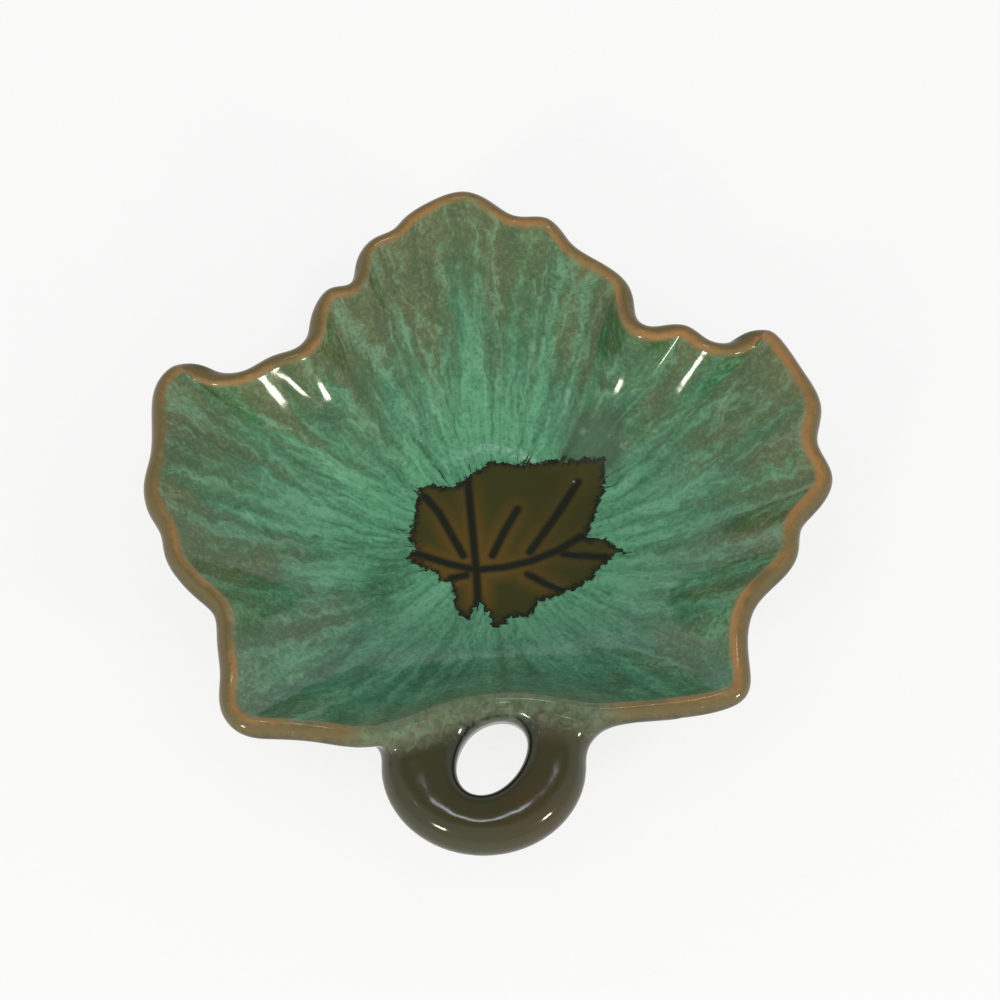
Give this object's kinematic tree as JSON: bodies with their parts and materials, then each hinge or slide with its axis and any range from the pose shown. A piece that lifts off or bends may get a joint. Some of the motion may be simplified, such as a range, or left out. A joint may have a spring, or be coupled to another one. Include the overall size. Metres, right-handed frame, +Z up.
{
  "type": "ring dish",
  "caption": "Leaf-shaped glazed pottery ring dish on a low foot ring, with a round finger loop at the stem end of the leaf.",
  "frame": {"origin": "on the table, under the middle of the dish's bounding box", "axes": "+Z up; +Y from the finger loop to the tip of the leaf; +X to the right when the loop is towards the viewer"},
  "size_m": [0.1575, 0.1679, 0.035],
  "materials": {
    "clay_body": "unglazed fired stoneware, matte",
    "green_glaze": "glossy flowing green glaze",
    "amber_glaze": "glossy dark amber glaze",
    "olive_glaze": "glossy olive-brown glaze"
  },
  "bodies": {
    "root": {"leaf_bowl": "clay_body", "finger_loop": "clay_body", "foot_ring": "clay_body", "green_glaze": "green_glaze", "amber_glaze": "amber_glaze", "outer_glaze": "olive_glaze", "loop_glaze": "olive_glaze"}
  },
  "joints": []
}
